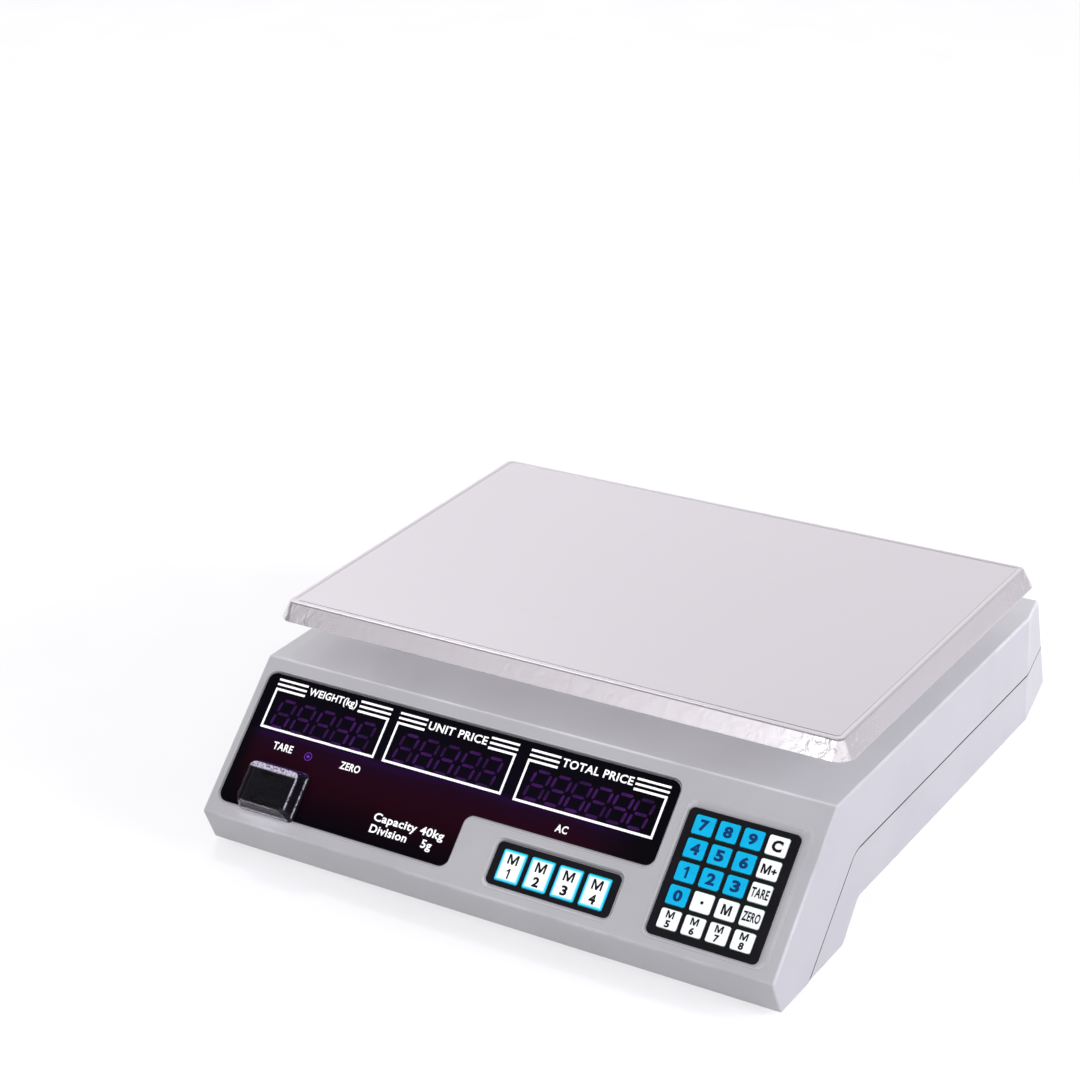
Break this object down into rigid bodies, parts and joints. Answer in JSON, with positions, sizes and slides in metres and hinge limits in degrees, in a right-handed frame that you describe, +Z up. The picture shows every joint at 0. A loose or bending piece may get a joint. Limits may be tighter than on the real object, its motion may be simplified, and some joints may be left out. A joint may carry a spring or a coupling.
{
  "type": "retail price scale",
  "caption": "Counter-top price-computing scale: lift-off steel pan over a load cell, sloping front panel with dark display window, film keypads, covered rocker switch and customer display.",
  "frame": {"origin": "on the table, under the middle of the scale's bounding box", "axes": "+Z up, +Y away from the operator towards the customer, +X to the operator's right"},
  "size_m": [0.3402, 0.343, 0.1115],
  "materials": {
    "case_plastic": "satin moulded ABS",
    "pan_steel": "satin stainless sheet",
    "support_aluminium": "as cast",
    "cell_aluminium": "milled and anodised",
    "bolt_steel": "zinc plated",
    "pad_rubber": "moulded",
    "foot_rubber": "moulded",
    "window_acrylic": "smoked, polished",
    "readout_epoxy": "cast epoxy",
    "circuit_board": "solder mask",
    "black_plastic": "moulded",
    "clear_plastic": "clear, moulded",
    "black_film": "printed film",
    "blue_key": "printed film",
    "white_key": "printed film",
    "core_steel": "laminated core with winding",
    "battery_case": "moulded"
  },
  "bodies": {
    "housing": {"top_housing": "case_plastic", "bottom_housing": "case_plastic", "load_cell": "cell_aluminium", "cell_bolt_fixed_1": "bolt_steel", "cell_bolt_fixed_2": "bolt_steel", "overload_stop_screw": "bolt_steel", "display_window": "window_acrylic", "display_board": "circuit_board", "weight_readout": "readout_epoxy", "unit_price_readout": "readout_epoxy", "total_price_readout": "readout_epoxy", "switch_body": "black_plastic", "switch_cover": "clear_plastic", "keypad_overlay": "black_film", "keypad_board": "circuit_board", "memory_keypad_overlay": "black_film", "memory_keypad_board": "circuit_board", "customer_window": "window_acrylic", "customer_display_board": "circuit_board", "main_board": "circuit_board", "transformer": "core_steel", "battery": "battery_case", "mains_inlet": "black_plastic"},
    "platform": {"pan_support": "support_aluminium", "cell_bolt_free_1": "bolt_steel", "cell_bolt_free_2": "bolt_steel", "pan_pad_front_left": "pad_rubber", "pan_pad_front_right": "pad_rubber", "pan_pad_rear_left": "pad_rubber", "pan_pad_rear_right": "pad_rubber"},
    "pan": {"weighing_pan": "pan_steel"},
    "foot_front_left": {"levelling_foot_front_left": "foot_rubber"},
    "foot_front_right": {"levelling_foot_front_right": "foot_rubber"},
    "foot_rear_left": {"levelling_foot_rear_left": "foot_rubber"},
    "foot_rear_right": {"levelling_foot_rear_right": "foot_rubber"},
    "rocker": {"power_rocker": "black_plastic"},
    "key_7": {"key_7": "blue_key"},
    "key_8": {"key_8": "blue_key"},
    "key_9": {"key_9": "blue_key"},
    "key_clear": {"key_clear": "white_key"},
    "key_4": {"key_4": "blue_key"},
    "key_5": {"key_5": "blue_key"},
    "key_6": {"key_6": "blue_key"},
    "key_add": {"key_add": "white_key"},
    "key_1": {"key_1": "blue_key"},
    "key_2": {"key_2": "blue_key"},
    "key_3": {"key_3": "blue_key"},
    "key_tare": {"key_tare": "white_key"},
    "key_0": {"key_0": "blue_key"},
    "key_point": {"key_point": "white_key"},
    "key_recall": {"key_recall": "white_key"},
    "key_zero": {"key_zero": "white_key"},
    "key_memory_5": {"key_memory_5": "white_key"},
    "key_memory_6": {"key_memory_6": "white_key"},
    "key_memory_7": {"key_memory_7": "white_key"},
    "key_memory_8": {"key_memory_8": "white_key"},
    "key_memory_1": {"key_memory_1": "white_key"},
    "key_memory_2": {"key_memory_2": "white_key"},
    "key_memory_3": {"key_memory_3": "white_key"},
    "key_memory_4": {"key_memory_4": "white_key"}
  },
  "joints": [
    {"name": "platform_deflection", "type": "slide", "parent": "housing", "child": "platform", "axis": [0, 0, -1], "range_m": [0, 0.0005], "stiffness_N_per_m": 900000, "springref_m": -0.00002, "deforming": ["load_cell"]},
    {"name": "pan_lift", "type": "slide", "parent": "platform", "child": "pan", "axis": [0, 0, 1], "range_m": [0, 0.06]},
    {"name": "foot_front_left_screw", "type": "slide", "parent": "housing", "child": "foot_front_left", "axis": [0, 0, -1], "range_m": [-0.002, 0.006]},
    {"name": "foot_front_right_screw", "type": "slide", "parent": "housing", "child": "foot_front_right", "axis": [0, 0, -1], "range_m": [-0.002, 0.006]},
    {"name": "foot_rear_left_screw", "type": "slide", "parent": "housing", "child": "foot_rear_left", "axis": [0, 0, -1], "range_m": [-0.002, 0.006]},
    {"name": "foot_rear_right_screw", "type": "slide", "parent": "housing", "child": "foot_rear_right", "axis": [0, 0, -1], "range_m": [-0.002, 0.006]},
    {"name": "rocker_tilt", "type": "hinge", "parent": "housing", "child": "rocker", "pos_m": [-0.131, -0.15662, 0.0356], "axis": [0, -0.7261, -0.6876], "range_deg": [0, 16]},
    {"name": "key_7_press", "type": "slide", "parent": "housing", "child": "key_7", "axis": [0, 0.6876, -0.7261], "range_m": [0, 0.0004], "stiffness_N_per_m": 1500, "springref_m": -0.0003},
    {"name": "key_8_press", "type": "slide", "parent": "housing", "child": "key_8", "axis": [0, 0.6876, -0.7261], "range_m": [0, 0.0004], "stiffness_N_per_m": 1500, "springref_m": -0.0003},
    {"name": "key_9_press", "type": "slide", "parent": "housing", "child": "key_9", "axis": [0, 0.6876, -0.7261], "range_m": [0, 0.0004], "stiffness_N_per_m": 1500, "springref_m": -0.0003},
    {"name": "key_clear_press", "type": "slide", "parent": "housing", "child": "key_clear", "axis": [0, 0.6876, -0.7261], "range_m": [0, 0.0004], "stiffness_N_per_m": 1500, "springref_m": -0.0003},
    {"name": "key_4_press", "type": "slide", "parent": "housing", "child": "key_4", "axis": [0, 0.6876, -0.7261], "range_m": [0, 0.0004], "stiffness_N_per_m": 1500, "springref_m": -0.0003},
    {"name": "key_5_press", "type": "slide", "parent": "housing", "child": "key_5", "axis": [0, 0.6876, -0.7261], "range_m": [0, 0.0004], "stiffness_N_per_m": 1500, "springref_m": -0.0003},
    {"name": "key_6_press", "type": "slide", "parent": "housing", "child": "key_6", "axis": [0, 0.6876, -0.7261], "range_m": [0, 0.0004], "stiffness_N_per_m": 1500, "springref_m": -0.0003},
    {"name": "key_add_press", "type": "slide", "parent": "housing", "child": "key_add", "axis": [0, 0.6876, -0.7261], "range_m": [0, 0.0004], "stiffness_N_per_m": 1500, "springref_m": -0.0003},
    {"name": "key_1_press", "type": "slide", "parent": "housing", "child": "key_1", "axis": [0, 0.6876, -0.7261], "range_m": [0, 0.0004], "stiffness_N_per_m": 1500, "springref_m": -0.0003},
    {"name": "key_2_press", "type": "slide", "parent": "housing", "child": "key_2", "axis": [0, 0.6876, -0.7261], "range_m": [0, 0.0004], "stiffness_N_per_m": 1500, "springref_m": -0.0003},
    {"name": "key_3_press", "type": "slide", "parent": "housing", "child": "key_3", "axis": [0, 0.6876, -0.7261], "range_m": [0, 0.0004], "stiffness_N_per_m": 1500, "springref_m": -0.0003},
    {"name": "key_tare_press", "type": "slide", "parent": "housing", "child": "key_tare", "axis": [0, 0.6876, -0.7261], "range_m": [0, 0.0004], "stiffness_N_per_m": 1500, "springref_m": -0.0003},
    {"name": "key_0_press", "type": "slide", "parent": "housing", "child": "key_0", "axis": [0, 0.6876, -0.7261], "range_m": [0, 0.0004], "stiffness_N_per_m": 1500, "springref_m": -0.0003},
    {"name": "key_point_press", "type": "slide", "parent": "housing", "child": "key_point", "axis": [0, 0.6876, -0.7261], "range_m": [0, 0.0004], "stiffness_N_per_m": 1500, "springref_m": -0.0003},
    {"name": "key_recall_press", "type": "slide", "parent": "housing", "child": "key_recall", "axis": [0, 0.6876, -0.7261], "range_m": [0, 0.0004], "stiffness_N_per_m": 1500, "springref_m": -0.0003},
    {"name": "key_zero_press", "type": "slide", "parent": "housing", "child": "key_zero", "axis": [0, 0.6876, -0.7261], "range_m": [0, 0.0004], "stiffness_N_per_m": 1500, "springref_m": -0.0003},
    {"name": "key_memory_5_press", "type": "slide", "parent": "housing", "child": "key_memory_5", "axis": [0, 0.6876, -0.7261], "range_m": [0, 0.0004], "stiffness_N_per_m": 1500, "springref_m": -0.0003},
    {"name": "key_memory_6_press", "type": "slide", "parent": "housing", "child": "key_memory_6", "axis": [0, 0.6876, -0.7261], "range_m": [0, 0.0004], "stiffness_N_per_m": 1500, "springref_m": -0.0003},
    {"name": "key_memory_7_press", "type": "slide", "parent": "housing", "child": "key_memory_7", "axis": [0, 0.6876, -0.7261], "range_m": [0, 0.0004], "stiffness_N_per_m": 1500, "springref_m": -0.0003},
    {"name": "key_memory_8_press", "type": "slide", "parent": "housing", "child": "key_memory_8", "axis": [0, 0.6876, -0.7261], "range_m": [0, 0.0004], "stiffness_N_per_m": 1500, "springref_m": -0.0003},
    {"name": "key_memory_1_press", "type": "slide", "parent": "housing", "child": "key_memory_1", "axis": [0, 0.6876, -0.7261], "range_m": [0, 0.0004], "stiffness_N_per_m": 1500, "springref_m": -0.0003},
    {"name": "key_memory_2_press", "type": "slide", "parent": "housing", "child": "key_memory_2", "axis": [0, 0.6876, -0.7261], "range_m": [0, 0.0004], "stiffness_N_per_m": 1500, "springref_m": -0.0003},
    {"name": "key_memory_3_press", "type": "slide", "parent": "housing", "child": "key_memory_3", "axis": [0, 0.6876, -0.7261], "range_m": [0, 0.0004], "stiffness_N_per_m": 1500, "springref_m": -0.0003},
    {"name": "key_memory_4_press", "type": "slide", "parent": "housing", "child": "key_memory_4", "axis": [0, 0.6876, -0.7261], "range_m": [0, 0.0004], "stiffness_N_per_m": 1500, "springref_m": -0.0003}
  ]
}
